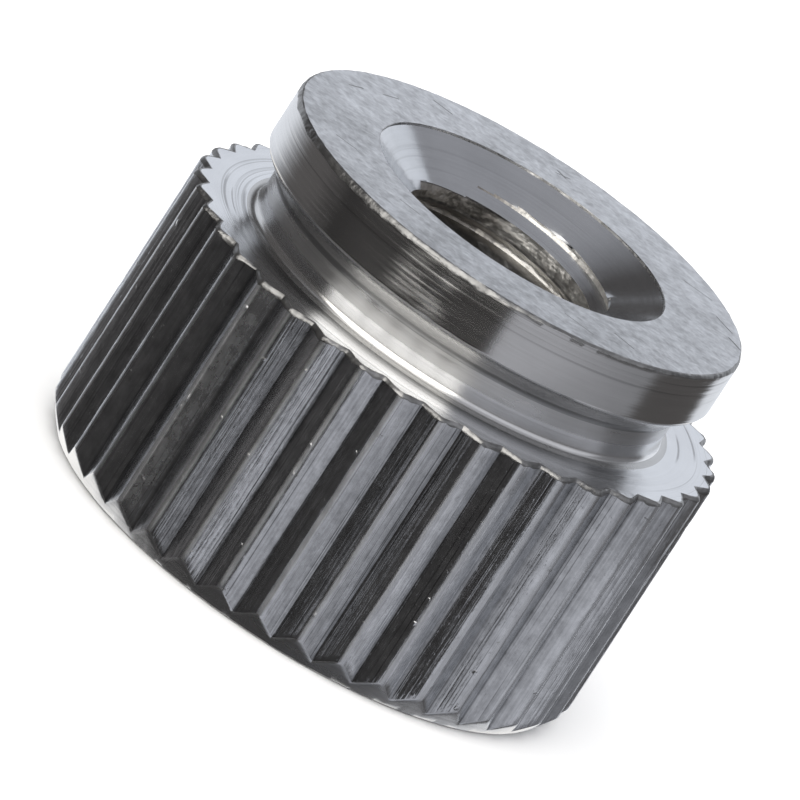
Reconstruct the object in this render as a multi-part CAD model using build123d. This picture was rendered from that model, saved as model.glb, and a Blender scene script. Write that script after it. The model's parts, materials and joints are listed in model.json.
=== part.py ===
from build123d import *
import math
import os

# Knurled thumb nut: one turned piece of steel, tapped right through.
# Frame: +Z along the thread axis, origin at the centre of the bottom face,
# knurled grip below, plain collar with the countersunk mouth on top.
# All sizes in millimetres.

# heights above the bottom face
TOTAL_H = 8.15          # bottom face to collar top
SHOULDER_Z = 5.75       # flat shoulder on top of the knurled grip
COLLAR_Z = 6.985        # lower edge of the collar's straight side

# diameters
KNURL_D = 11.70         # over the knurl crests
COLLAR_D = 9.95
NECK_D = 9.06           # relief groove between the grip and the collar
NECK_FOOT_D = 9.00      # the groove is cut slightly deeper at its foot

# straight knurl: V grooves cut parallel to the axis
TEETH = 40
CREST_LAND = 0.09       # flat left on each crest
ROOT_FLAT = 0.05        # flat at the bottom of each groove
FLANK_DEG = 30.0        # each flank to the tangent (120 degree V)
GROOVE_PHASE = 3.1      # angle of the first groove from +X, degrees

# turned edges
BOTTOM_CH_R = 0.34      # bottom chamfer, radial
BOTTOM_CH_Z = 0.48      # bottom chamfer, along the axis
TOP_CH = 0.09           # edge break at the top of the knurl
FOOT_FILLET = 0.18      # root fillet where the neck meets the shoulder
NECK_SWEEP = 0.20       # radius that sweeps the neck out into the collar's bevel
UNDER_BEVEL_Z = 0.42    # bevel under the collar, along the axis
COLLAR_BREAK = 0.06     # edge break round the collar's top

# M5 x 0.8 tapped hole
MINOR_D = 4.20          # wall of the hole at the thread crests
CSK_D = 6.40            # countersink mouth in the collar's top face
CSK_DEG = 118.0         # countersink included angle
MOUTH_STEP = 0.05       # short straight lip above the countersink
EXIT_CH = 0.30          # entry chamfer at the bottom mouth

R_KNURL = KNURL_D / 2
R_COLLAR = COLLAR_D / 2
R_NECK = NECK_D / 2
R_MINOR = MINOR_D / 2
R_CSK = CSK_D / 2

csk_depth = MOUTH_STEP + (R_CSK - R_MINOR) / math.tan(math.radians(CSK_DEG / 2))
pitch = 2 * math.pi * R_KNURL / TEETH
groove_half = (pitch - CREST_LAND) / 2
groove_depth = (groove_half - ROOT_FLAT / 2) * math.tan(math.radians(FLANK_DEG))
R_ROOT = R_KNURL - groove_depth


def rounded(before, corner, after, radius):
    """Start, middle and end of the arc that rounds a corner of the section."""
    ux, uz = before[0] - corner[0], before[1] - corner[1]
    vx, vz = after[0] - corner[0], after[1] - corner[1]
    ul, vl = math.hypot(ux, uz), math.hypot(vx, vz)
    ux, uz, vx, vz = ux / ul, uz / ul, vx / vl, vz / vl
    half = math.acos(ux * vx + uz * vz) / 2
    run = radius / math.tan(half)
    bx, bz = ux + vx, uz + vz
    bl = math.hypot(bx, bz)
    to_arc = radius / math.sin(half) - radius
    return (
        (corner[0] + ux * run, 0, corner[1] + uz * run),
        (corner[0] + bx / bl * to_arc, 0, corner[1] + bz / bl * to_arc),
        (corner[0] + vx * run, 0, corner[1] + vz * run),
    )


neck_foot = (NECK_FOOT_D / 2, SHOULDER_Z)
neck_head = (R_NECK, COLLAR_Z - UNDER_BEVEL_Z)
foot_arc = rounded((R_KNURL, SHOULDER_Z), neck_foot, neck_head, FOOT_FILLET)
sweep_arc = rounded(neck_foot, neck_head, (R_COLLAR, COLLAR_Z), NECK_SWEEP)

# turned body: half section in the XZ plane, revolved about Z
section = make_face(
    [
        Polyline(
            (R_MINOR + EXIT_CH, 0, 0),
            (R_KNURL - BOTTOM_CH_R, 0, 0),
            (R_KNURL, 0, BOTTOM_CH_Z),
            (R_KNURL, 0, SHOULDER_Z - TOP_CH),
            (R_KNURL - TOP_CH, 0, SHOULDER_Z),
            foot_arc[0],
        ),
        # root of the neck, hollow side outwards
        ThreePointArc(*foot_arc),
        Line(foot_arc[2], sweep_arc[0]),
        # the neck's wall sweeps out into the bevel under the collar
        ThreePointArc(*sweep_arc),
        Polyline(
            sweep_arc[2],
            (R_COLLAR, 0, COLLAR_Z),
            (R_COLLAR, 0, TOTAL_H - COLLAR_BREAK),
            (R_COLLAR - COLLAR_BREAK, 0, TOTAL_H),
            (R_CSK, 0, TOTAL_H),
            (R_CSK, 0, TOTAL_H - MOUTH_STEP),
            (R_MINOR, 0, TOTAL_H - csk_depth),
            (R_MINOR, 0, EXIT_CH),
            (R_MINOR + EXIT_CH, 0, 0),
        ),
    ]
)
blank = revolve(section, axis=Axis.Z)

# one knurl groove: a V prism, carried past the crest so that it cuts clean
over = 0.20
side = groove_half + over / math.tan(math.radians(FLANK_DEG))
groove_face = make_face(
    Polyline(
        (R_ROOT, -ROOT_FLAT / 2, -0.1),
        (R_KNURL + over, -side, -0.1),
        (R_KNURL + over, side, -0.1),
        (R_ROOT, ROOT_FLAT / 2, -0.1),
        (R_ROOT, -ROOT_FLAT / 2, -0.1),
    )
)
groove = extrude(groove_face, amount=SHOULDER_Z + 0.3, dir=(0, 0, 1))
grooves = [
    Rot(0, 0, GROOVE_PHASE + i * 360 / TEETH) * groove for i in range(TEETH)
]
nut = blank - grooves

solids = nut.solids()
thumb_nut = solids[0]
print("solids", len(solids), "volume", round(thumb_nut.volume, 2),
      "faces", len(thumb_nut.faces()))
print("knurl pitch", round(pitch, 4), "groove depth", round(groove_depth, 4),
      "root radius", round(R_ROOT, 4), "countersink depth", round(csk_depth, 4))
print("thread wall", round(TOTAL_H - csk_depth - EXIT_CH, 4))

os.makedirs("parts", exist_ok=True)
export_step(thumb_nut, "parts/thumb_nut.step")
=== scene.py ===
import json
import math

import bpy
import numpy as np
from mathutils import Matrix, Quaternion, Vector


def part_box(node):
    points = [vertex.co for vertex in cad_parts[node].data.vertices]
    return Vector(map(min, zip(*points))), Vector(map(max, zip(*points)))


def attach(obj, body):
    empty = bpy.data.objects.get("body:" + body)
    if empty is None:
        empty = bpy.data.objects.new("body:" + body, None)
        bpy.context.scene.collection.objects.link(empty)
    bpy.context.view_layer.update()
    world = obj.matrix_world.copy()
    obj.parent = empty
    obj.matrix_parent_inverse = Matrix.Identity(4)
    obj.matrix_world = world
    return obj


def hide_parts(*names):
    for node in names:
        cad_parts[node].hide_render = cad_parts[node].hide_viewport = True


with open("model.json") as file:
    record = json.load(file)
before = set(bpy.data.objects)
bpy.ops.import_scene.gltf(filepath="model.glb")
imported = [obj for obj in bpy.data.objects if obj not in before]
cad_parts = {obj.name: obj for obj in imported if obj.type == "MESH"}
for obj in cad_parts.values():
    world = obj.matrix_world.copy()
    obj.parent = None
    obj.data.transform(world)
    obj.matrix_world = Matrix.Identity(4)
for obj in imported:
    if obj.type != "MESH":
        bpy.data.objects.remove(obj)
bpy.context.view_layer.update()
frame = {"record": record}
node_lo, node_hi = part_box("thumb_nut")
MM = 0.001

# ---------------------------------------------------------------------------
# Sizes in millimetres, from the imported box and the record.
# Angles are measured round the axis from -Y towards +X.
# ---------------------------------------------------------------------------
TOTAL_H = (node_hi.z - node_lo.z) / MM
KNURL_R = (node_hi.x - node_lo.x) / 2 / MM
BORE_R = [m for m in frame["record"]["mounts"] if m["name"] == "thread"][0]["dims"]["r_mm"]
SHOULDER_Z = 5.75
COLLAR_Z = 6.985
COLLAR_R = 4.975
NECK_R = 4.53
NECK_FOOT_R = 4.50
UNDER_Z = 0.42
FOOT_FILLET = 0.18
SWEEP = 0.20
TEETH = 40
PITCH_DEG = 360.0 / TEETH
CREST_0 = -1.4
HALF = math.radians(PITCH_DEG / 2) * KNURL_R
DEPTH = 0.2249
FLANK = math.tan(math.radians(30.0))
CSK_R = 3.20
CSK_T = math.tan(math.radians(59.0))
MOUTH = 0.05
EXIT_CH = 0.30
THREAD_P = 0.80
THREAD_DEEP = 0.31
THREAD_EASE = 0.055
THREAD_FLAT = 0.04
THREAD_Z = 7.612


def rng(seed):
    return np.random.RandomState(seed)


def wave(n_knots, seed, closed=True):
    """A smooth random function of 0..1, about -1 to 1."""
    v = rng(seed).uniform(-1, 1, n_knots)
    if closed:
        v = np.append(v, v[0])
    else:
        v = np.append(v, rng(seed + 991).uniform(-1, 1))

    def f(t):
        t = np.asarray(t, float)
        t = np.mod(t, 1.0) if closed else np.clip(t, 0, 1)
        x = t * n_knots
        i = np.minimum(x.astype(int), n_knots - 1)
        w = x - i
        w = w * w * (3 - 2 * w)
        return v[i] * (1 - w) + v[i + 1] * w

    return f


def grid_noise(nu, nv, seed):
    """Smooth random function of (u, v), closed in u, about -1 to 1."""
    g = rng(seed).uniform(-1, 1, (nu, nv + 1))

    def f(u, v):
        x = np.mod(np.asarray(u, float), 1.0) * nu
        y = np.clip(np.asarray(v, float), 0, 1) * nv
        i = x.astype(int) % nu
        j = np.minimum(y.astype(int), nv - 1)
        a, b = x - np.floor(x), y - j
        a, b = a * a * (3 - 2 * a), b * b * (3 - 2 * b)
        i2 = (i + 1) % nu
        return (g[i, j] * (1 - a) * (1 - b) + g[i2, j] * a * (1 - b)
                + g[i, j + 1] * (1 - a) * b + g[i2, j + 1] * a * b)

    return f


# ---------------------------------------------------------------------------
# The mesh: rings of points, from the bore's lower mouth out along the bottom,
# up the outside, in over the top and down the hole.
# ---------------------------------------------------------------------------
verts, faces, zones = [], [], []
ZONE = {"bottom": 0, "chamfer": 1, "knurl": 2, "edge": 3, "shoulder": 4,
        "turned": 5, "top": 6, "cone": 7, "thread": 8, "mouth": 9, "collar": 10, "bevel": 11, "foot": 12,
        "sweep": 13, "fillet": 14}


def add_ring(a_deg, r, z):
    a = np.radians(np.asarray(a_deg, float))
    r = np.broadcast_to(np.asarray(r, float), a.shape)
    z = np.broadcast_to(np.asarray(z, float), a.shape)
    start = len(verts)
    verts.extend(zip(r * np.sin(a), -r * np.cos(a), z))
    return list(range(start, start + len(a)))


def join(lower, upper, zone):
    n, m = len(lower), len(upper)
    k = ZONE[zone]
    if n == m:
        for j in range(n):
            j2 = (j + 1) % n
            faces.append((lower[j], lower[j2], upper[j2], upper[j]))
            zones.append(k)
    elif n == 2 * m:
        for j in range(m):
            a, b, c = lower[2 * j], lower[2 * j + 1], lower[(2 * j + 2) % n]
            d, e = upper[j], upper[(j + 1) % m]
            faces.extend([(a, b, d), (b, e, d), (b, c, e)])
            zones.extend([k] * 3)
    elif m == 2 * n:
        for j in range(n):
            a, b, c = upper[2 * j], upper[2 * j + 1], upper[(2 * j + 2) % m]
            d, e = lower[j], lower[(j + 1) % n]
            faces.extend([(d, b, a), (d, e, b), (e, c, b)])
            zones.extend([k] * 3)
    else:
        raise ValueError("rings don't match")


# one tooth's columns, as distances from the crest's middle
steps = [0.03, 0.06, 0.10, 0.16, 0.22, 0.28, 0.34, 0.40, 0.4375]
U1 = np.array([-s for s in reversed(steps)] + [0.0] + steps + [HALF])
NU = len(U1)
N = TEETH * NU
tooth = np.repeat(np.arange(TEETH), NU)
u = np.tile(U1, TEETH)
col = np.degrees(u / KNURL_R) + CREST_0 + PITCH_DEG * tooth
turn = np.mod(col / 360.0, 1.0)

r_seed = rng(11)
crest_shift = r_seed.uniform(-0.016, 0.016, TEETH)
crest_drop = r_seed.uniform(0.0, 0.008, TEETH)
deep = r_seed.uniform(-0.012, 0.012, TEETH)
crest_width = r_seed.uniform(-0.012, 0.016, TEETH)
rag = grid_noise(TEETH * 2, 46, 21)
rag2 = grid_noise(TEETH * 6, 30, 22)
rag3 = grid_noise(TEETH, 14, 23)


def tooth_r(z):
    """The outline's radius for each column at height z, one per column."""
    t = z / SHOULDER_Z
    near_crest = np.exp(-(u / 0.16) ** 2)
    s = crest_shift[tooth] + 0.007 * rag(turn, t) + 0.004 * rag3(turn, t)
    uu = u - s * (1 - np.abs(u) / HALF)
    land = 0.045 + crest_width[tooth]
    x = np.abs(uu) - land
    h = FLANK * (np.sqrt(x * x + 0.040 ** 2) + x) / 2 - FLANK * (math.sqrt(land.mean() ** 2 + 0.040 ** 2) - land.mean()) / 2
    d = DEPTH + deep[tooth]
    y = d - h
    h = d - (np.sqrt(y * y + 0.018 ** 2) + y) / 2
    h = h + crest_drop[tooth] * near_crest
    nick = np.clip(rag2(turn, t) - 0.55, 0, 1) * 0.045 * near_crest
    fine = 0.0035 * rag2(turn * 1.0, np.mod(t * 3.1, 1.0)) * np.clip(1.2 - np.abs(u) / 0.2, 0.15, 1)
    return np.minimum(KNURL_R - np.maximum(h, 0.0) - nick - np.abs(fine), KNURL_R)


# --- the bottom
bore_foot = BORE_R + EXIT_CH
NB = N // 4


def cone_r(z):
    return CSK_R - (TOTAL_H - MOUTH - z) * CSK_T


def groove_r(off):
    """Thread groove's radius at a signed distance from its middle; the root is eased on its lower side."""
    up = np.maximum(0.0, off - THREAD_FLAT / 2)
    down = np.maximum(0.0, -off - THREAD_FLAT / 2)
    eased = np.minimum(down, THREAD_EASE) * 0.40 + np.maximum(0.0, down - THREAD_EASE) / FLANK
    return np.maximum(BORE_R, BORE_R + THREAD_DEEP - up / FLANK - eased)


def thread_off(a_deg, z):
    t = (z - THREAD_Z) / THREAD_P - (a_deg - 180.0) / 360.0
    return (t - np.round(t)) * THREAD_P


def thread_r(a_deg, z):
    """The hole's radius: thread groove, crest wall, countersink or foot chamfer, whichever is widest."""
    return np.maximum(np.maximum(groove_r(thread_off(a_deg, z)), cone_r(z)), bore_foot - z)


# the bore's grid follows the helix
offs = np.array([-0.265, -0.2415, -0.185, -0.130, -0.075, -0.045, -0.02, 0.02, 0.070, 0.135, 0.199, 0.225, 0.40])
offs = np.sort(np.mod(offs, THREAD_P))
M = len(offs)
ZB0, ZB1 = 0.0, 7.79
bore_a = np.arange(NB) * 360.0 / NB
first = int(math.floor((ZB0 - THREAD_Z) / THREAD_P)) - 2
last = int(math.ceil((ZB1 - THREAD_Z) / THREAD_P)) + 2
rows = []
for k in range(first, last + 1):
    for o in offs:
        rows.append(THREAD_Z + k * THREAD_P + o)
rows = np.array(sorted(rows))

grid_z = rows[:, None] + THREAD_P * (bore_a[None, :] - 180.0) / 360.0
clip_z = np.clip(grid_z, ZB0, ZB1)
grid_r = thread_r(bore_a[None, :], clip_z)
wobble = grid_noise(60, 60, 61)
grid_r = grid_r + 0.004 * wobble(bore_a[None, :] / 360.0, clip_z / TOTAL_H) * ((clip_z > 0.02) & (clip_z < 7.7))

seen = {}


def bore_vertex(i, j):
    """Vertex of grid row i at column j; the seam at 360 degrees drops one turn."""
    if j == NB:
        i, j = i + M, 0
    key = (j, round(float(clip_z[i, j]), 7))
    if key not in seen:
        a = math.radians(bore_a[j])
        seen[key] = len(verts)
        verts.append((grid_r[i, j] * math.sin(a), -grid_r[i, j] * math.cos(a), clip_z[i, j]))
    return seen[key]


R_rows = len(rows) - M
bore_faces = []
for i in range(R_rows - 1):
    for j in range(NB):
        q = (bore_vertex(i + 1, j), bore_vertex(i + 1, j + 1), bore_vertex(i, j + 1), bore_vertex(i, j))
        q2 = []
        for v in q:
            if v not in q2:
                q2.append(v)
        if len(q2) > 2:
            bore_faces.append(tuple(q2))
# the part of the helix band outside the hole collapses onto the two end rings
end_lo = [seen.get((j, round(ZB0, 7))) for j in range(NB)]
end_hi = [seen.get((j, round(ZB1, 7))) for j in range(NB)]
assert None not in end_lo and None not in end_hi, "the bore's rows don't reach its ends"
faces.extend(bore_faces)
zones.extend([ZONE["thread"]] * len(bore_faces))

# bottom face, from the bore's foot out to the chamfer
b_col4 = bore_a
b_col2 = np.arange(N // 2) * 720.0 / N
ring_a = add_ring(b_col4, 3.0, 0.0)
join(end_lo, ring_a, "bottom")
ring_b = add_ring(b_col4, 3.8, 0.0)
join(ring_a, ring_b, "bottom")
ring_c = add_ring(b_col2, 4.6, 0.0)
join(ring_b, ring_c, "bottom")
even = np.arange(N) * 360.0 / N
lead = np.mod(col - even + 180, 360) - 180
# even columns start where the tooth columns do, so that no face is twisted
shift = int(round(np.mod(col[0], 360.0) / 360.0 * N))
base_even = (np.arange(N) + shift) * 360.0 / N
lead = np.mod(col - base_even + 180, 360) - 180


def rolled(ring, k):
    return ring[k % len(ring):] + ring[:k % len(ring)]


ring_d = add_ring(np.arange(N // 2) * 720.0 / N + shift * 360.0 / N, 5.1, 0.0)
near = int(round(shift / 2.0))
join(rolled(ring_c, near), ring_d, "bottom")
ring_e = add_ring(base_even + lead * 0.6, 5.40, 0.0)
join(ring_d, ring_e, "bottom")

CH_R0, CH_Z = 5.51, 0.48
low_r = tooth_r(0.30)
z_c = np.maximum((low_r - CH_R0) / (KNURL_R - CH_R0) * CH_Z, 0.02)
ch_wave = 0.010 * wave(90, 31)(turn) + 0.006 * wave(260, 32)(turn)
ring_f = add_ring(col, CH_R0 - 0.03, 0.0)
join(ring_e, ring_f, "bottom")
ring_g = add_ring(col, CH_R0 + ch_wave * 0.5, 0.012)
join(ring_f, ring_g, "chamfer")
prev = ring_g
for s in (0.35, 0.7, 0.93):
    zz = np.maximum(z_c * s, 0.016)
    rr = CH_R0 + (KNURL_R - CH_R0) * zz / CH_Z + ch_wave * 0.5 * (1 - s)
    rr = np.minimum(rr, tooth_r(zz))
    ring = add_ring(col, rr, zz)
    join(prev, ring, "chamfer")
    prev = ring
z_start = z_c + 0.03
ring = add_ring(col, tooth_r(z_start), z_start)
join(prev, ring, "chamfer")
prev = ring

# --- the knurl
roll_h = 0.100 + 0.030 * wave(140, 41)(turn) + 0.020 * wave(420, 42)(turn)
roll_h = np.clip(roll_h, 0.05, 0.17)
z_end = SHOULDER_Z - roll_h
ROWS = 30
for i in range(1, ROWS + 1):
    z = z_start + (z_end - z_start) * i / ROWS
    ring = add_ring(col, tooth_r(z), z)
    join(prev, ring, "knurl")
    prev = ring

# --- the rolled, ragged top edge of the teeth
lip = np.clip(0.4 + wave(300, 43)(turn), 0, 1.2)
top_r = tooth_r(SHOULDER_Z)
inset = 0.050 + 0.010 * wave(200, 44)(turn)
burr = 0.012 * np.clip(wave(340, 45)(turn) + 0.2, 0, 1)
for pull, down in ((-0.002, 0.80), (0.014, 0.42), (0.030, 0.16)):
    ring = add_ring(col, np.minimum(top_r - pull + 0.006 * lip * (1 - down), KNURL_R), SHOULDER_Z - down * roll_h)
    join(prev, ring, "edge")
    prev = ring
ring = add_ring(col, top_r - inset, SHOULDER_Z + burr)
join(prev, ring, "edge")
prev = ring
ring = add_ring(col, top_r - inset - 0.035, SHOULDER_Z + burr * 0.4)
join(prev, ring, "edge")
prev = ring

# --- the shoulder, with the tool's concentric steps
mix_r = np.minimum(top_r - inset - 0.075, 5.56)
ring = add_ring(base_even + lead * 0.8, mix_r, SHOULDER_Z)
join(prev, ring, "shoulder")
prev = ring
ring = add_ring(base_even + lead * 0.35, 5.46, SHOULDER_Z)
join(prev, ring, "shoulder")
prev = ring
N2 = N // 2
c2 = (np.arange(N2) * 2 + shift) * 360.0 / N
t2 = np.mod(c2 / 360.0, 1.0)
ring = add_ring(c2, 5.38, SHOULDER_Z)
join(prev, ring, "shoulder")
prev = ring
for r, dz in ((5.26, 0.0), (5.235, -0.0035), (5.21, 0.0), (4.99, -0.001), (4.965, -0.0045), (4.94, -0.001), (4.72, 0.0)):
    ring = add_ring(c2, r, SHOULDER_Z + dz)
    join(prev, ring, "shoulder")
    prev = ring


# --- the neck: foot fillet, slightly tapered wall, and the sweep into the collar's bevel
def rounded(before, corner, after, radius, count):
    """Points of the arc that rounds a corner of the section."""
    b, c, a = np.array(before, float), np.array(corner, float), np.array(after, float)
    ub, ua = (b - c) / np.linalg.norm(b - c), (a - c) / np.linalg.norm(a - c)
    half = math.acos(float(ub @ ua)) / 2
    mid = (ub + ua) / np.linalg.norm(ub + ua)
    o = c + mid * radius / math.sin(half)
    p0 = c + ub * radius / math.tan(half) - o
    p1 = c + ua * radius / math.tan(half) - o
    full = math.pi - 2 * half
    out = []
    for k in range(count + 1):
        w = k / count
        out.append(o + (math.sin((1 - w) * full) * p0 + math.sin(w * full) * p1) / math.sin(full))
    return out


foot, head = (NECK_FOOT_R, SHOULDER_Z), (NECK_R, COLLAR_Z - UNDER_Z)
arc_a = rounded((KNURL_R, SHOULDER_Z), foot, head, FOOT_FILLET, 7)
arc_b = rounded(foot, head, (COLLAR_R, COLLAR_Z), SWEEP, 6)
wall = [arc_a[-1] + (arc_b[0] - arc_a[-1]) * w for w in (0.2, 0.4, 0.6, 0.8)]
bevel = [arc_b[-1] + (np.array((COLLAR_R, COLLAR_Z)) - arc_b[-1]) * w for w in (0.3, 0.6, 0.92)]
n_plain = len(arc_a) + len(wall) - 1
# the foot rings take a darker steel, painted shade; the fillet rings a lighter steel, painted highlight; the sweep
# under the collar a darker steel, painted shade
for k, p in enumerate(arc_a + wall + arc_b + bevel):
    ring = add_ring(c2, p[0] + 0.0015 * wave(40, 300 + k)(t2) * (k > n_plain), p[1])
    join(prev, ring, "foot" if k < 4 else "fillet" if k < len(arc_a) + 2 else "turned" if k <= n_plain + 1 else "sweep" if k <= n_plain + len(arc_b) else "bevel")
    prev = ring

# --- the collar
low_edge = 0.010 * wave(120, 51)(t2)
ring = add_ring(c2, COLLAR_R - 0.003, COLLAR_Z + 0.018 + low_edge * 0.5)
join(prev, ring, "turned")
prev = ring
rim_h = np.clip(0.120 + 0.034 * wave(70, 52)(t2) + 0.036 * wave(160, 53)(t2), 0.06, 0.19)
rim_at = np.mod(c2 + 180.0, 360.0) - 180.0
rim_h = rim_h * (1.0 - 0.52 / (1.0 + np.exp(-(rim_at - 9.0) / 2.0)) / (1.0 + np.exp((rim_at - 84.0) / 4.0)))
z_rim = TOTAL_H - rim_h
z_low = COLLAR_Z + 0.045
ring = add_ring(c2, COLLAR_R - 0.001, z_low)
join(prev, ring, "collar")
prev = ring
# shallow turning grooves: (height, rise of the lit side, depth)
for k, (z, rise, dip) in enumerate(((7.075, 0.040, 0.008), (7.165, 0.055, 0.013), (7.270, 0.060, 0.014), (7.375, 0.070, 0.013),
                                    (7.485, 0.060, 0.012), (7.635, 0.045, 0.011), (7.790, 0.030, 0.005))):
    mod = np.clip(0.62 + 0.34 * wave(14, 400 + k)(t2) + 0.24 * wave(60, 420 + k)(t2), 0.1, 1.1)
    at = np.mod(c2 + 180.0, 360.0) - 180.0
    mod = mod * (0.10 + 0.58 * np.exp(-((at + 11.5) / 9.0) ** 4) + 0.46 * np.exp(-((at + 43.0) / 6.0) ** 4))
    zz = z + 0.008 * wave(26, 440 + k)(t2)
    for dz, share in ((0.0, 0.0), (rise * 0.5, 0.55), (rise, 1.0), (rise + 0.018, 0.1)):
        ring = add_ring(c2, COLLAR_R - 0.001 - dip * mod * share, zz + dz)
        join(prev, ring, "collar")
        prev = ring
ring = add_ring(c2, COLLAR_R - 0.001, 7.93)
join(prev, ring, "collar")
prev = ring
ring = add_ring(c2, COLLAR_R - 0.002, z_rim)
join(prev, ring, "collar")
prev = ring
rim_lip = np.clip(wave(210, 54)(t2), 0, 1)
for pull, down in ((0.012, 0.68), (0.030, 0.34), (0.046, 0.12)):
    ring = add_ring(c2, COLLAR_R - pull + 0.006 * rim_lip, TOTAL_H - down * rim_h)
    join(prev, ring, "edge")
    prev = ring
ring = add_ring(c2, COLLAR_R - 0.068 - 0.010 * wave(150, 55)(t2), TOTAL_H - 0.001)
join(prev, ring, "edge")
prev = ring

# --- the top face
for r in (4.86, 4.55, 4.2, 3.85, 3.5, 3.31):
    ring = add_ring(c2, r, TOTAL_H - 0.001 + 0.001 * wave(30, int(r * 100))(t2))
    join(prev, ring, "top")
    prev = ring
k4 = int(round(shift / 4.0))
c4r = (np.arange(NB) + 0.0) * 360.0 / NB + shift * 360.0 / N
ring = add_ring(c2, CSK_R + 0.035, TOTAL_H - 0.002)
join(prev, ring, "top")
prev = ring
ring = add_ring(c2, CSK_R + 0.010, TOTAL_H)
join(prev, ring, "top")
prev = ring
ring = add_ring(c4r, CSK_R - 0.002, TOTAL_H - 0.014)
join(prev, ring, "mouth")
prev = ring
ring = add_ring(c4r, CSK_R - 0.006 - 0.004 * wave(60, 56)(c4r / 360.0), TOTAL_H - MOUTH)
join(prev, ring, "mouth")
prev = ring

# --- the countersink
start_off = c4r - (np.arange(NB) + k4) * 360.0 / NB
for s in (0.12, 0.3, 0.5, 0.7, 0.88):
    z = TOTAL_H - MOUTH - (TOTAL_H - MOUTH - ZB1) * s
    a = (np.arange(NB) + k4) * 360.0 / NB + start_off * (1 - s)
    ring = add_ring(a, cone_r(z), z)
    join(prev, ring, "cone")
    prev = ring
join(prev, rolled(end_hi, k4), "cone")

mesh = bpy.data.meshes.new("thumb_nut_steel")
mesh.from_pydata([(x * MM, y * MM, z * MM) for x, y, z in verts], [], faces)
mesh.update()

zone = np.array(zones)
cen = np.zeros(len(faces) * 3, np.float32)
mesh.polygons.foreach_get("center", cen)
cen = cen.reshape(-1, 3) / MM
# the helix grid's upper rows belong to the countersink where they lie on it
deg = np.degrees(np.arctan2(cen[:, 0], -cen[:, 1]))
off = thread_off(np.mod(deg, 360.0), cen[:, 2])
in_hole = zone == ZONE["thread"]
on_cone = in_hole & (cone_r(cen[:, 2]) > groove_r(off) - 0.004)
# the first groove's lower side is as smooth as the countersink that it runs out of
first_turn = np.abs((cen[:, 2] - THREAD_Z) / THREAD_P - (np.mod(deg, 360.0) - 180.0) / 360.0) < 0.5
run_out = in_hole & first_turn & (off < -0.075) & (off > -0.243)
zone[on_cone | run_out] = ZONE["cone"]
mesh.polygons.foreach_set("material_index", zone.astype(np.int32))
mesh.polygons.foreach_set("use_smooth", np.ones(len(faces), bool))
mesh.set_sharp_from_angle(angle=math.radians(28))
mesh.validate()
nut = bpy.data.objects.new("thumb_nut_steel", mesh)
bpy.context.scene.collection.objects.link(nut)


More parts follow.
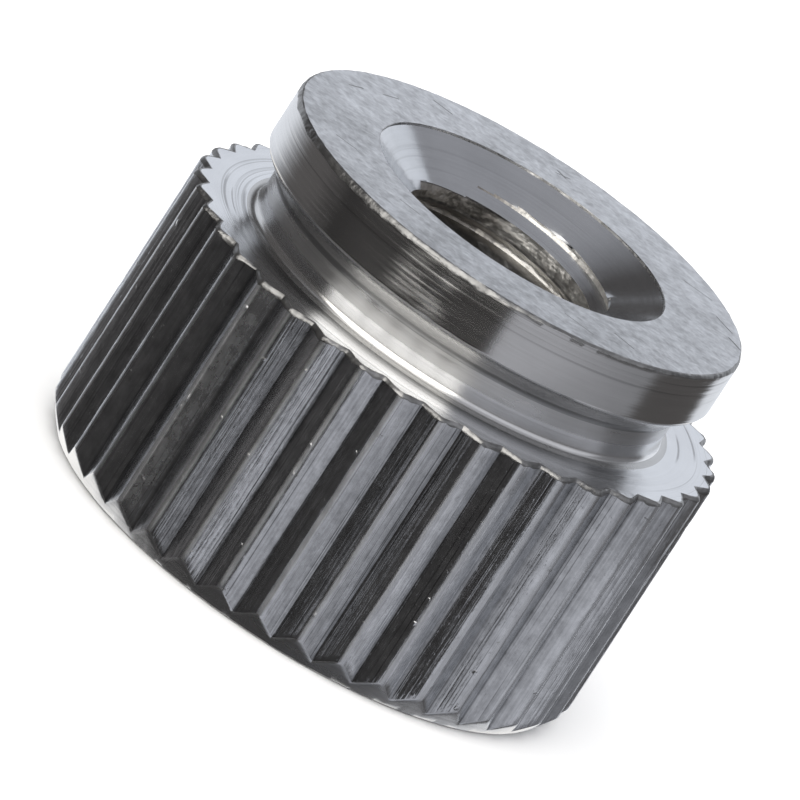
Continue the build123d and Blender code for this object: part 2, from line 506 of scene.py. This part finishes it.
# ---------------------------------------------------------------------------
# Materials
# ---------------------------------------------------------------------------
class Nodes:
    """Short names for the shader nodes that the steel is made of."""

    def __init__(self, mat):
        mat.use_nodes = True
        self.t = mat.node_tree
        self.t.nodes.clear()
        self.out = self.t.nodes.new("ShaderNodeOutputMaterial")
        self.bsdf = self.t.nodes.new("ShaderNodeBsdfPrincipled")
        self.t.links.new(self.bsdf.outputs[0], self.out.inputs[0])
        co = self.t.nodes.new("ShaderNodeTexCoord")
        self.p = self.vec("MULTIPLY", co.outputs["Object"], (1000.0, 1000.0, 1000.0))
        sep = self.t.nodes.new("ShaderNodeSeparateXYZ")
        self.link(self.p, sep.inputs[0])
        self.x, self.y, self.z = sep.outputs
        self.r = self.m("SQRT", self.m("ADD", self.m("MULTIPLY", self.x, self.x), self.m("MULTIPLY", self.y, self.y)))
        self.cx = self.m("DIVIDE", self.x, self.r)
        self.cy = self.m("DIVIDE", self.y, self.r)
        self.ang = self.m("MULTIPLY", self.m("ARCTAN2", self.x, self.m("MULTIPLY", self.y, -1.0)), 180.0 / math.pi)

    def link(self, a, b):
        self.t.links.new(a, b)

    def put(self, v, sock):
        if isinstance(v, bpy.types.NodeSocket):
            self.link(v, sock)
        else:
            sock.default_value = v

    def m(self, op, a, b=0.0, c=0.0, clamp=False):
        n = self.t.nodes.new("ShaderNodeMath")
        n.operation = op
        n.use_clamp = clamp
        self.put(a, n.inputs[0])
        self.put(b, n.inputs[1])
        self.put(c, n.inputs[2])
        return n.outputs[0]

    def vec(self, op, a, b):
        n = self.t.nodes.new("ShaderNodeVectorMath")
        n.operation = op
        self.put(a, n.inputs[0])
        self.put(b, n.inputs[1])
        return n.outputs[0]

    def xyz(self, x, y, z):
        n = self.t.nodes.new("ShaderNodeCombineXYZ")
        self.put(x, n.inputs[0])
        self.put(y, n.inputs[1])
        self.put(z, n.inputs[2])
        return n.outputs[0]

    def noise(self, v, scale=1.0, detail=2.0, rough=0.5, lo=0.0, hi=1.0, f0=0.25, f1=0.75):
        n = self.t.nodes.new("ShaderNodeTexNoise")
        n.inputs["Scale"].default_value = scale
        n.inputs["Detail"].default_value = detail
        n.inputs["Roughness"].default_value = rough
        self.link(v, n.inputs["Vector"])
        return self.span(n.outputs["Fac"], f0, f1, lo, hi)

    def span(self, v, f0, f1, lo, hi):
        n = self.t.nodes.new("ShaderNodeMapRange")
        n.clamp = True
        self.put(v, n.inputs["Value"])
        n.inputs["From Min"].default_value = f0
        n.inputs["From Max"].default_value = f1
        n.inputs["To Min"].default_value = lo
        n.inputs["To Max"].default_value = hi
        return n.outputs["Result"]

    def mix(self, f, a, b):
        n = self.t.nodes.new("ShaderNodeMix")
        n.data_type = "RGBA"
        self.put(f, n.inputs[0])
        self.put(a, n.inputs[6])
        self.put(b, n.inputs[7])
        return n.outputs[2]

    def bump(self, height, um, strength=1.0, normal=None):
        n = self.t.nodes.new("ShaderNodeBump")
        n.inputs["Distance"].default_value = um * 1e-6
        n.inputs["Strength"].default_value = strength
        self.link(height, n.inputs["Height"])
        if normal is not None:
            self.link(normal, n.inputs["Normal"])
        return n.outputs[0]

    def around(self, a, along, k):
        """Coordinates for marks that run round the axis: fine across `along`, slow round the turn."""
        return self.xyz(self.m("MULTIPLY", self.cx, a), self.m("MULTIPLY", self.cy, a), self.m("MULTIPLY", along, k))

    def scratch(self, x0, y0, x1, y1, w, bend=0.02):
        """1 on a straight scratch between two points of the top face, and 0 off it."""
        dx, dy = x1 - x0, y1 - y0
        ln = math.hypot(dx, dy)
        dx, dy = dx / ln, dy / ln
        px = self.m("SUBTRACT", self.x, x0)
        py = self.m("SUBTRACT", self.y, y0)
        along = self.m("ADD", self.m("MULTIPLY", px, dx), self.m("MULTIPLY", py, dy))
        across = self.m("ABSOLUTE", self.m("SUBTRACT", self.m("MULTIPLY", px, -dy), self.m("MULTIPLY", py, -dx)))
        side = self.span(across, 0.2 * w, 1.5 * w, 1.0, 0.0)
        ends = self.span(self.m("ABSOLUTE", self.m("SUBTRACT", along, ln / 2)), ln / 2 - 2 * w, ln / 2, 1.0, 0.0)
        return self.m("MULTIPLY", side, ends)

    def metal(self, colour, rough, normal=None, aniso=0.0, rot=0.0, tangent=False):
        b = self.bsdf
        b.inputs["Metallic"].default_value = 1.0
        self.put(colour, b.inputs["Base Color"])
        self.put(rough, b.inputs["Roughness"])
        if normal is not None:
            self.link(normal, b.inputs["Normal"])
        b.inputs["Anisotropic"].default_value = aniso
        b.inputs["Anisotropic Rotation"].default_value = rot
        if tangent:
            t = self.t.nodes.new("ShaderNodeTangent")
            t.direction_type = "RADIAL"
            t.axis = "Z"
            self.link(t.outputs[0], b.inputs["Tangent"])


def grey(v, tint=(1.0, 1.0, 1.0)):
    return (v * tint[0], v * tint[1], v * tint[2], 1.0)


COOL = (0.965, 0.985, 1.02)
WARM = (1.03, 1.0, 0.95)


def turned_steel(name, axis, rough=0.14, base=0.78, bands=6.0, grain_um=0.3, tint=(1, 1, 1), dark=0.45, arcs=(), mids=0.16, wear_and_sheen=(), torn=None, front_shade=None):
    """Steel off the lathe: shallow bands, fine rings, a few deeper ones, faint blotches."""
    m = bpy.data.materials.new(name)
    n = Nodes(m)
    along = n.z if axis == "z" else n.r
    band = n.noise(n.around(0.10, along, 6.5), 1.0, 1.5, 0.5)
    mid = n.noise(n.around(0.30, along, 19.0), 1.0, 2.0, 0.5)
    patch = n.noise(n.around(3.0, along, 1.3), 1.0, 3.0, 0.55)
    grain = n.noise(n.p, 34.0, 2.0, 0.6)
    deepm = n.noise(n.around(0.50, along, 15.0), 1.0, 1.0, 0.5, 0.0, 1.0, 0.62, 0.70)
    nrm = n.bump(band, bands)
    nrm = n.bump(mid, bands * mids, 1.0, nrm)
    nrm = n.bump(n.m("SUBTRACT", grain, n.m("MULTIPLY", deepm, 2.0)), grain_um, 1.0, nrm)
    shade = n.m("MULTIPLY", n.m("ADD", n.m("MULTIPLY", patch, 0.40), n.m("MULTIPLY", mid, 0.22)), 0.5)
    shade = n.m("ADD", shade, n.m("MULTIPLY", deepm, dark))
    for r0, w, a0, a1 in arcs:
        off = n.span(n.m("ABSOLUTE", n.m("SUBTRACT", along, r0)), 0.35 * w, w, 1.0, 0.0)
        mid_a, half_a = (a0 + a1) / 2.0, (a1 - a0) / 2.0
        ends = n.span(n.m("ABSOLUTE", n.m("SUBTRACT", n.ang, mid_a)), half_a * 0.5, half_a, 1.0, 0.0)
        shade = n.m("ADD", shade, n.m("MULTIPLY", n.m("MULTIPLY", off, ends), 0.9))
    rough = n.m("ADD", rough, n.m("MULTIPLY", patch, 0.05))
    # rougher patches round the given angles, as wear; their lighter colour is painted sheen where the collar faces the
    # window
    for mid_a, half_a, amount in wear_and_sheen:
        ends = n.span(n.m("ABSOLUTE", n.m("SUBTRACT", n.ang, mid_a)), half_a * 0.55, half_a, 1.0, 0.0)
        blot = n.noise(n.around(3.2, along, 4.2), 1.0, 2.5, 0.6, 0.0, 1.0, 0.34, 0.66)
        rough = n.m("ADD", rough, n.m("MULTIPLY", n.m("MULTIPLY", ends, blot), amount))
        shade = n.m("SUBTRACT", shade, n.m("MULTIPLY", n.m("MULTIPLY", ends, blot), 0.25))
    near = None
    if front_shade:
        # painted shade: darker towards the neck, on the front side only
        near = n.span(n.m("ABSOLUTE", n.ang), 40.0, 70.0, 1.0, 0.0)
        near = n.m("MULTIPLY", near, n.span(along, front_shade[0], front_shade[1], front_shade[2], 0.0))
    if torn:
        # rougher above a height, in patches
        over = n.span(along, torn[0], torn[1], 0.0, 1.0)
        blot = n.noise(n.around(2.6, along, 5.0), 1.0, 2.5, 0.6, 0.35, 1.0, 0.36, 0.60)
        rough = n.m("ADD", rough, n.m("MULTIPLY", n.m("MULTIPLY", over, blot), torn[2]))
    colour = n.mix(n.m("MAXIMUM", 0.0, n.m("MINIMUM", shade, 1.35)), grey(base, tint), grey(base * 0.45, tint))
    if near is not None:
        colour = n.mix(near, colour, grey(base * 0.16, tint))
    n.metal(colour, rough, nrm, 0.80, 0.25, True)
    return m


def knurl_steel():
    """Knurl flanks: lines drawn lengthwise by the wheel, torn grain, rubbed crests, and painted shade towards the
    valleys.
    """
    m = bpy.data.materials.new("steel_knurl")
    n = Nodes(m)
    t = n.m("ADD", n.m("DIVIDE", n.m("SUBTRACT", n.ang, CREST_0 - 360.0), PITCH_DEG), 0.5)
    tid = n.m("FLOOR", t)
    ph = n.m("SUBTRACT", n.m("SUBTRACT", t, tid), 0.5)
    aph = n.m("ABSOLUTE", ph)
    own = n.m("MULTIPLY", tid, 5.7)
    lines = n.noise(n.xyz(n.m("MULTIPLY", ph, 15.0), own, n.m("MULTIPLY", n.z, 0.22)), 1.0, 2.0, 0.5)
    fine = n.noise(n.xyz(n.m("MULTIPLY", ph, 44.0), own, n.m("MULTIPLY", n.z, 0.8)), 1.0, 2.0, 0.6)
    drawn = n.noise(n.xyz(n.m("MULTIPLY", ph, 26.0), own, n.m("MULTIPLY", n.z, 0.10)), 1.0, 1.0, 0.5, 0.0, 1.0, 0.62, 0.72)
    grain = n.noise(n.p, 15.0, 3.0, 0.6)
    vs = n.xyz(n.m("MULTIPLY", n.x, 17.0), n.m("MULTIPLY", n.y, 17.0), n.m("MULTIPLY", n.z, 10.0))
    torn = n.noise(vs, 0.8, 2.0, 0.5, 0.0, 1.0, 0.62, 0.76)
    crest = n.span(aph, 0.035, 0.085, 1.0, 0.0)
    valley_shade = n.span(aph, 0.43, 0.49, 0.0, 1.0)
    nrm = n.bump(n.m("ADD", n.m("MULTIPLY", lines, 1.0), n.m("MULTIPLY", fine, 0.30)), 5.0)
    nrm = n.bump(grain, 1.6, 1.0, nrm)
    nrm = n.bump(torn, 2.4, 1.0, nrm)
    # small torn specks beside the crests
    speck = n.noise(n.p, 4.6, 1.0, 0.5, 0.0, 1.0, 0.70, 0.84)
    speck = n.m("MULTIPLY", speck, n.span(aph, 0.13, 0.24, 1.0, 0.0))
    nrm = n.bump(speck, 16.0, 1.0, nrm)
    cells = n.noise(n.xyz(n.m("MULTIPLY", n.x, 4.6), n.m("MULTIPLY", n.y, 4.6), n.m("MULTIPLY", n.z, 3.0)), 1.0, 2.5, 0.6, -1.0, 1.0)
    shade = n.m("ADD", n.m("MULTIPLY", lines, 0.46), n.m("MULTIPLY", grain, 0.16))
    shade = n.m("ADD", shade, n.m("MULTIPLY", drawn, 0.80))
    # painted shade: darker in the valleys and down the flanks towards them
    shade = n.m("ADD", shade, n.m("MULTIPLY", valley_shade, 0.36))
    shade = n.m("ADD", shade, n.m("MULTIPLY", aph, 0.70))
    shade = n.m("ADD", shade, n.m("MULTIPLY", cells, 0.26))
    shade = n.m("MAXIMUM", 0.0, n.m("MINIMUM", n.m("MULTIPLY", shade, 0.72), 1.0))
    colour = n.mix(shade, grey(0.98, COOL), grey(0.22, COOL))
    # crests lighter as rubbed wear; near -50 degrees the crest is painted darker, painted shade over its highlight
    crest_wear_and_shade = n.mix(n.span(n.m("ABSOLUTE", n.m("ADD", n.ang, 50.0)), 5.0, 10.0, 1.0, 0.0), grey(0.82, COOL), grey(0.30, COOL))
    colour = n.mix(n.m("MULTIPLY", crest, 0.60), colour, crest_wear_and_shade)
    vr = n.xyz(n.m("MULTIPLY", n.x, 6.0), n.m("MULTIPLY", n.y, 6.0), n.m("MULTIPLY", n.z, 3.2))
    spots = n.noise(vr, 1.0, 3.0, 0.6, 0.0, 1.0, 0.40, 0.75)
    rough = n.m("ADD", n.m("MULTIPLY", spots, 0.06), n.m("MULTIPLY", lines, 0.05))
    rough = n.m("ADD", rough, n.m("MULTIPLY", crest, 0.22))
    # one flank left rough by the wheel
    flank = n.m("MULTIPLY", n.span(n.m("ABSOLUTE", n.m("ADD", n.ang, 36.5)), 2.4, 3.6, 1.0, 0.0), n.m("GREATER_THAN", ph, 0.0))
    rough = n.m("ADD", rough, n.m("MULTIPLY", flank, n.m("ADD", 0.09, n.m("MULTIPLY", cells, 0.07))))
    n.metal(colour, n.m("ADD", 0.14, rough), nrm)
    return m


def top_steel():
    """The faced top: matte, mottled, with a few scratches and nicks, and painted shade that darkens it towards the
    front.
    """
    m = bpy.data.materials.new("steel_top_face")
    n = Nodes(m)
    mottle = n.noise(n.p, 3.6, 2.5, 0.60, 0.0, 1.0, 0.30, 0.70)
    fine = n.noise(n.p, 9.0, 2.0, 0.5)
    big = n.noise(n.p, 0.8, 2.0, 0.5)
    rings = n.noise(n.around(0.8, n.r, 9.0), 1.0, 2.0, 0.5)
    marks = None
    for s in MARKS:
        k = n.scratch(*s)
        marks = k if marks is None else n.m("MAXIMUM", marks, k)
    h = n.m("ADD", n.m("ADD", n.m("MULTIPLY", mottle, 1.0), n.m("MULTIPLY", fine, 0.14)), n.m("MULTIPLY", rings, 0.18))
    nrm = n.bump(h, 10.0)
    nrm = n.bump(n.m("SUBTRACT", 1.0, marks), 14.0, 1.0, nrm)
    shade = n.m("ADD", n.m("MULTIPLY", mottle, 0.44), n.m("ADD", n.m("MULTIPLY", fine, 0.20), n.m("MULTIPLY", big, 0.34)))
    # painted shade: darker towards the front edge
    shade = n.m("ADD", shade, n.span(n.y, -5.0, 2.5, 0.26, -0.04))
    colour = n.mix(shade, grey(0.97, COOL), grey(0.44, COOL))
    colour = n.mix(n.m("MULTIPLY", marks, 0.55), colour, grey(0.14))
    n.metal(colour, n.m("ADD", 0.36, n.m("MULTIPLY", fine, 0.10)), nrm)
    return m


def edge_steel(name, base, rough, um=4.0):
    """Rolled edges and burrs, rubbed bright."""
    m = bpy.data.materials.new(name)
    n = Nodes(m)
    grain = n.noise(n.p, 5.2, 2.0, 0.5)
    blot = n.noise(n.p, 3.0, 2.0, 0.5)
    nrm = n.bump(grain, um * 4.0)
    colour = n.mix(n.m("MULTIPLY", blot, 0.9), grey(base), grey(base * 0.38))
    n.metal(colour, n.m("ADD", rough, n.m("MULTIPLY", grain, 0.1)), nrm)
    return m


def thread_steel():
    """Tapped steel: rough torn crests, and painted shade further down the hole, on one side of the far wall and along
    two groove edges.
    """
    m = bpy.data.materials.new("steel_thread")
    n = Nodes(m)
    # degrees from the far side of the hole, and the height with the helix's rise taken off
    half_turn = n.m("SUBTRACT", n.ang, n.m("MULTIPLY", n.m("SIGN", n.ang), 180.0))
    # both ends of the half turns meet at the near side, so all of it fades out there
    off = n.m("ABSOLUTE", half_turn)
    near_fade = n.span(off, 95.0, 178.0, 1.0, 0.0)
    zc = n.m("SUBTRACT", n.z, n.m("MULTIPLY", n.m("MULTIPLY", half_turn, near_fade), THREAD_P / 360.0))
    lines_on = n.span(off, 90.0, 125.0, 1.0, 0.0)
    tear = n.noise(n.around(2.2, n.z, 6.0), 1.0, 2.0, 0.5)
    fine = n.noise(n.around(1.0, n.z, 24.0), 1.0, 2.0, 0.6)
    blot = n.noise(n.p, 3.4, 2.0, 0.5)
    nrm = n.bump(n.m("ADD", n.m("MULTIPLY", tear, 0.9), n.m("MULTIPLY", fine, 0.15)), 10.0)
    nrm = n.bump(blot, 34.0, 1.0, nrm)
    # painted shade: one side of the far wall darker, fading out towards the near side
    shade = n.m("ADD", n.m("MULTIPLY", tear, 0.6), n.m("MULTIPLY", n.span(half_turn, -4.0, 28.0, 0.0, 0.85), near_fade))
    colour = n.mix(n.m("MINIMUM", shade, 1.0), grey(0.98, (1.01, 1.0, 0.975)), grey(0.34, (1.06, 1.0, 0.93)))
    # painted shade: a dark line along the upper edge of the first groove
    lip = n.m("MULTIPLY", n.span(n.m("ABSOLUTE", n.m("SUBTRACT", zc, THREAD_Z - 0.262)), 0.012, 0.034, 1.0, 0.0), n.span(half_turn, -4.0, 10.0, 0.0, 1.0))
    colour = n.mix(n.m("MULTIPLY", n.m("MULTIPLY", lip, lines_on), 0.80), colour, grey(0.12))
    # painted shade: a dark line along the upper flank of the second groove
    foot = n.m("MULTIPLY", n.span(n.m("ABSOLUTE", n.m("SUBTRACT", zc, THREAD_Z - 0.575)), 0.012, 0.040, 1.0, 0.0), 0.55)
    colour = n.mix(n.m("MULTIPLY", foot, lines_on), colour, grey(0.12))
    # painted shade: darker further down the hole
    colour = n.mix(n.span(zc, THREAD_Z - 0.975, THREAD_Z - 0.882, 0.88, 0.0), colour, grey(0.12))
    n.metal(colour, n.m("ADD", 0.40, n.m("MULTIPLY", blot, 0.14)), nrm)
    return m


MARKS = ((4.50, 1.02, 4.90, 0.66, 0.026), (-2.75, 3.62, -2.25, 3.50, 0.022), (-3.60, 2.05, -3.28, 2.40, 0.020),
         (0.0, 4.22, 0.26, 4.03, 0.022), (0.0, 4.00, 0.34, 4.18, 0.018), (4.1, 1.75, 4.55, 1.35, 0.017),
         (-3.9, -1.9, -3.4, -2.0, 0.016), (1.6, -3.6, 2.3, -3.75, 0.015), (3.2, 2.6, 3.9, 2.5, 0.015),
         (-4.25, 1.35, -3.95, 1.70, 0.020), (-2.2, -3.2, -1.7, -3.35, 0.015), (2.6, -2.9, 3.1, -3.1, 0.018))

ARCS = ((5.22, 0.040, -92.0, -64.0), (5.05, 0.022, -84.0, -66.0), (4.78, 0.035, -88.0, -60.0),
        (5.34, 0.035, 98.0, 120.0), (4.98, 0.030, 90.0, 110.0))
mats = {
    "bottom": turned_steel("steel_bottom_face", "r", 0.26, 0.72, 3.0, 0.4, COOL),
    "chamfer": turned_steel("steel_chamfer", "z", 0.24, 0.92, 2.0, 0.4, COOL, 0.2),
    "knurl": knurl_steel(),
    "edge": edge_steel("steel_rolled_edge", 0.46, 0.32),
    # the shoulder's last tuple paints shade: a dark arc at the front next to the neck
    "shoulder": turned_steel("steel_shoulder", "r", 0.17, 0.80, 2.2, 0.5, COOL, 0.5, ARCS, 0.16, (), None, (4.88, 5.36, 0.97)),
    "turned": turned_steel("steel_neck", "z", 0.14, 0.84, 1.0, 0.25, (1, 1, 1), 0.10, (), 0.16, (), (6.13, 6.20, 0.24)),
    "bevel": turned_steel("steel_bevel", "z", 0.17, 0.85, 5.0, 0.3, (1, 1, 1), 0.35),
    # the collar's patches at -11 and -43 degrees: wear in roughness, painted sheen in colour
    "collar": turned_steel("steel_collar", "z", 0.14, 0.78, 6.0, 0.3, (1, 1, 1), 0.40, (), 0.30,
                           ((-11.0, 9.5, 0.17), (-43.0, 6.0, 0.10))),
    "top": top_steel(),
    "cone": turned_steel("steel_countersink", "r", 0.16, 0.74, 2.0, 0.4, COOL, 0.15),
    "thread": thread_steel(),
    # painted shade: darker copy of the steel for the corner at the neck's foot
    "foot": turned_steel("steel_neck_foot_painted_shade", "z", 0.24, 0.54, 1.0, 0.4, (1, 1, 1), 0.3),
    # painted highlight: lighter copy of the steel for the band that reflects the lit shoulder
    "fillet": turned_steel("steel_neck_fillet_painted_highlight", "z", 0.18, 0.96, 1.0, 0.25, (1, 1, 1), 0.1),
    # painted shade: darker copy of the steel for the sweep under the collar
    "sweep": turned_steel("steel_neck_sweep_painted_shade", "z", 0.26, 0.50, 1.0, 0.4, (1, 1, 1), 0.3),
    "mouth": edge_steel("steel_mouth_edge", 0.60, 0.22, 2.0),
}
for key, _ in sorted(ZONE.items(), key=lambda kv: kv[1]):
    mesh.materials.append(mats[key])

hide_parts("thumb_nut")
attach(nut, "root")

# ---------------------------------------------------------------------------
# Floor
# ---------------------------------------------------------------------------
fv = [(0.0, 0.0, -2e-5)]
ff = []
for k, rr in enumerate((0.02, 0.06, 0.15, 0.32)):
    for j in range(96):
        a = 2 * math.pi * j / 96
        fv.append((rr * math.cos(a), rr * math.sin(a), -2e-5))
    s = 1 + 96 * k
    for j in range(96):
        j2 = (j + 1) % 96
        if k == 0:
            ff.append((0, s + j, s + j2))
        else:
            ff.append((s - 96 + j, s + j, s + j2, s - 96 + j2))
floor_mesh = bpy.data.meshes.new("floor")
floor_mesh.from_pydata(fv, [], ff)
floor = bpy.data.objects.new("floor", floor_mesh)
bpy.context.scene.collection.objects.link(floor)
fm = bpy.data.materials.new("floor_white")
fm.use_nodes = True
ft = fm.node_tree
ft.nodes.clear()
fo = ft.nodes.new("ShaderNodeOutputMaterial")
fd = ft.nodes.new("ShaderNodeBsdfDiffuse")
fd.inputs["Color"].default_value = (0.93, 0.93, 0.93, 1.0)
ftr = ft.nodes.new("ShaderNodeBsdfTransparent")
fg = ft.nodes.new("ShaderNodeNewGeometry")
fx = ft.nodes.new("ShaderNodeMixShader")
ft.links.new(fg.outputs["Backfacing"], fx.inputs[0])
ft.links.new(fd.outputs[0], fx.inputs[1])
ft.links.new(ftr.outputs[0], fx.inputs[2])
ft.links.new(fx.outputs[0], fo.inputs[0])
floor_mesh.materials.append(fm)
floor.visible_glossy = False

# ---------------------------------------------------------------------------
# World: the soft studio round the nut, as bands of light and dark by direction
# ---------------------------------------------------------------------------
world = bpy.data.worlds.new("studio")
bpy.context.scene.world = world
world.use_nodes = True
W = world.node_tree
W.nodes.clear()


def wm(op, a, b=0.0, c=0.0, clamp=False):
    n = W.nodes.new("ShaderNodeMath")
    n.operation = op
    n.use_clamp = clamp
    for s, v in zip(n.inputs, (a, b, c)):
        if isinstance(v, bpy.types.NodeSocket):
            W.links.new(v, s)
        else:
            s.default_value = v
    return n.outputs[0]


def wspan(v, f0, f1):
    n = W.nodes.new("ShaderNodeMapRange")
    n.interpolation_type = "SMOOTHSTEP"
    W.links.new(v, n.inputs["Value"])
    n.inputs["From Min"].default_value = f0
    n.inputs["From Max"].default_value = f1
    return n.outputs["Result"]


def wmix(f, a, b):
    n = W.nodes.new("ShaderNodeMix")
    n.data_type = "RGBA"
    for s, v in ((n.inputs[0], f), (n.inputs[6], a), (n.inputs[7], b)):
        if isinstance(v, bpy.types.NodeSocket):
            W.links.new(v, s)
        else:
            s.default_value = v
    return n.outputs[2]


wc = W.nodes.new("ShaderNodeTexCoord")
ws = W.nodes.new("ShaderNodeSeparateXYZ")
W.links.new(wc.outputs["Generated"], ws.inputs[0])
dx, dy, dz = ws.outputs
az = wm("MULTIPLY", wm("ARCTAN2", dx, wm("MULTIPLY", dy, -1.0)), 180.0 / math.pi)
az_b = wm("ADD", az, wm("MULTIPLY", wm("LESS_THAN", az, 0.0), 360.0))


def sine(deg):
    return math.sin(math.radians(deg))


def between(v, lo0, lo1, hi0, hi1):
    """1 between lo1 and hi0, falling softly to 0 at lo0 and hi1."""
    return wm("MULTIPLY", wspan(v, lo0, lo1), wm("SUBTRACT", 1.0, wspan(v, hi0, hi1)))


def tone(v, t):
    return (v * t[0], v * t[1], v * t[2], 1.0)


NEU = (1.03, 1.0, 0.95)
BLU = (0.95, 0.985, 1.05)
GRY = (0.97, 0.98, 1.04)
DRK = (1.05, 1.0, 0.99)
above = wspan(dz, -0.05, 0.12)
sky = wmix(above, tone(0.036, DRK), tone(0.080, DRK))
sky = wmix(wm("MULTIPLY", between(az, -128, -118, -100, -74), wm("SUBTRACT", 1.0, above)), sky, tone(0.105, DRK))
# dark gap on the right
sky = wmix(between(az, 90, 98, 146, 152), sky, wmix(above, tone(0.085, DRK), tone(0.17, GRY)))
# pale sweep behind on the left, low down
sky = wmix(wm("MULTIPLY", between(az_b, 174, 182, 214, 249), between(dz, -0.90, -0.80, -0.01, 0.05)), sky, tone(0.90, BLU))
sky = wmix(wm("MULTIPLY", between(az_b, 204, 210, 228, 236), between(dz, -0.10, 0.0, 0.34, 0.42)), sky, tone(0.62, BLU))
# grey panel in front on the right: low part, and high part with a gap between them
low_r = wmix(wspan(az, 24, 92), tone(0.46, GRY), tone(0.26, GRY))
sky = wmix(wm("MULTIPLY", between(az, 16.5, 20.5, 93, 101), between(dz, -0.90, -0.80, -0.12, 0.02)), sky, low_r)
sky = wmix(wm("MULTIPLY", between(az, 16.5, 20.5, 103, 112), wspan(dz, 0.08, 0.34)), sky, tone(0.58, GRY))
sky = wmix(wm("MULTIPLY", between(az, 16.5, 20.5, 103, 112), wspan(dz, 0.62, 0.74)), sky, tone(0.25, GRY))
# pale panel behind on the right
sky = wmix(wm("MULTIPLY", between(az_b, 140, 149, 186, 194), between(dz, -0.90, -0.80, 0.52, 0.58)), sky, tone(0.86, BLU))
sky = wmix(wm("MULTIPLY", between(az_b, 100, 112, 184, 196), between(dz, 0.52, 0.58, 0.84, 0.90)), sky, tone(0.36, GRY))
# pale ground behind, low down
sky = wmix(wm("MULTIPLY", between(az_b, 148, 160, 222, 236), between(dz, -0.90, -0.80, -0.42, -0.34)), sky, tone(1.12, NEU))
# ceiling and ground
sky = wmix(wspan(dz, 0.60, 0.93), sky, tone(0.37, GRY))
sky = wmix(wspan(dz, -0.80, -0.92), sky, tone(0.03, DRK))
# the window, in front on the left
pane = wmix(wspan(dz, 0.50, 0.82), tone(2.24, NEU), tone(1.60, NEU))
sky = wmix(wm("MULTIPLY", between(az, -67, -59, 17, 21), between(dz, 0.04, 0.25, 0.86, 0.94)), sky, pane)
bg = W.nodes.new("ShaderNodeBackground")
W.links.new(sky, bg.inputs[0])
plain = W.nodes.new("ShaderNodeBackground")
plain.inputs[0].default_value = (0.95, 0.95, 0.95, 1.0)
lp = W.nodes.new("ShaderNodeLightPath")
mixs = W.nodes.new("ShaderNodeMixShader")
W.links.new(lp.outputs["Is Camera Ray"], mixs.inputs[0])
W.links.new(bg.outputs[0], mixs.inputs[1])
W.links.new(plain.outputs[0], mixs.inputs[2])
wo = W.nodes.new("ShaderNodeOutputWorld")
W.links.new(mixs.outputs[0], wo.inputs[0])

# small reflectors close by, seen only in the grip's flanks
for k, (px, py, facing, half_w, low, high, power) in enumerate(((11.4, -1.1, 115.0, 3.4, -3.2, 2.5, 0.20),
                                                                (-1.93, -9.3, 9.0, 0.42, -1.6, 4.3, 0.30),
                                                                (10.6, -4.6, 69.9, 1.95, -3.2, 2.5, 0.46))):
    rm = bpy.data.materials.new("reflector_grey_%d" % k)
    rm.use_nodes = True
    rt = rm.node_tree
    rt.nodes.clear()
    ro = rt.nodes.new("ShaderNodeOutputMaterial")
    re_ = rt.nodes.new("ShaderNodeEmission")
    re_.inputs[0].default_value = (0.97, 0.98, 1.04, 1.0)
    re_.inputs[1].default_value = power
    rt.links.new(re_.outputs[0], ro.inputs[0])
    ax, ay = math.cos(math.radians(facing)) * half_w, math.sin(math.radians(facing)) * half_w
    card_mesh = bpy.data.meshes.new("reflector_%d" % k)
    card_mesh.from_pydata([((px - ax) * MM, (py - ay) * MM, low * MM), ((px + ax) * MM, (py + ay) * MM, low * MM),
                           ((px + ax) * MM, (py + ay) * MM, high * MM), ((px - ax) * MM, (py - ay) * MM, high * MM)],
                          [], [(0, 1, 2, 3)])
    card_mesh.materials.append(rm)
    card = bpy.data.objects.new("reflector_%d" % k, card_mesh)
    bpy.context.scene.collection.objects.link(card)
    for flag in ("camera", "diffuse", "transmission", "volume_scatter", "shadow"):
        setattr(card, "visible_" + flag, False)

# a broad overhead softbox for the floor and the nut's soft shadow
lamp = bpy.data.lights.new("softbox", "AREA")
lamp.shape = "DISK"
lamp.size = 0.90
lamp.energy = 2.60
lamp_o = bpy.data.objects.new("softbox", lamp)
lamp_o.location = (-0.01, -0.02, 0.30)
lamp_o.rotation_mode = "QUATERNION"
lamp_o.rotation_quaternion = (Vector((0, 0, 0)) - lamp_o.location).to_track_quat("-Z", "Y")
lamp_o.visible_glossy = False
bpy.context.scene.collection.objects.link(lamp_o)

# ---------------------------------------------------------------------------
# Camera: long lens, 17 degrees above the horizon, rolled so that the nut leans
# ---------------------------------------------------------------------------
centre = (node_lo + node_hi) / 2
DIST = 0.440
WIDE = 15.36 * MM
ELEV, ROLL = math.radians(17.07), math.radians(32.98)
aim = Vector((centre.x - 0.110 * MM, centre.y, centre.z - 0.259 * MM))
back = Vector((0.0, -math.cos(ELEV), math.sin(ELEV)))
cam = bpy.data.cameras.new("camera")
cam.sensor_width = 36.0
cam.lens = 36.0 * DIST / WIDE
cam.clip_start, cam.clip_end = 0.01, 3.0
cam_o = bpy.data.objects.new("camera", cam)
cam_o.rotation_mode = "QUATERNION"
cam_o.location = aim + back * DIST
cam_o.rotation_quaternion = (-back).to_track_quat("-Z", "Y") @ Quaternion((0, 0, 1), ROLL)
bpy.context.scene.collection.objects.link(cam_o)
bpy.context.scene.camera = cam_o

view = bpy.context.scene.view_settings
view.view_transform = "Standard"
view.look = "None"
view.exposure = 0.0
view.gamma = 1.0

bpy.context.view_layer.update()
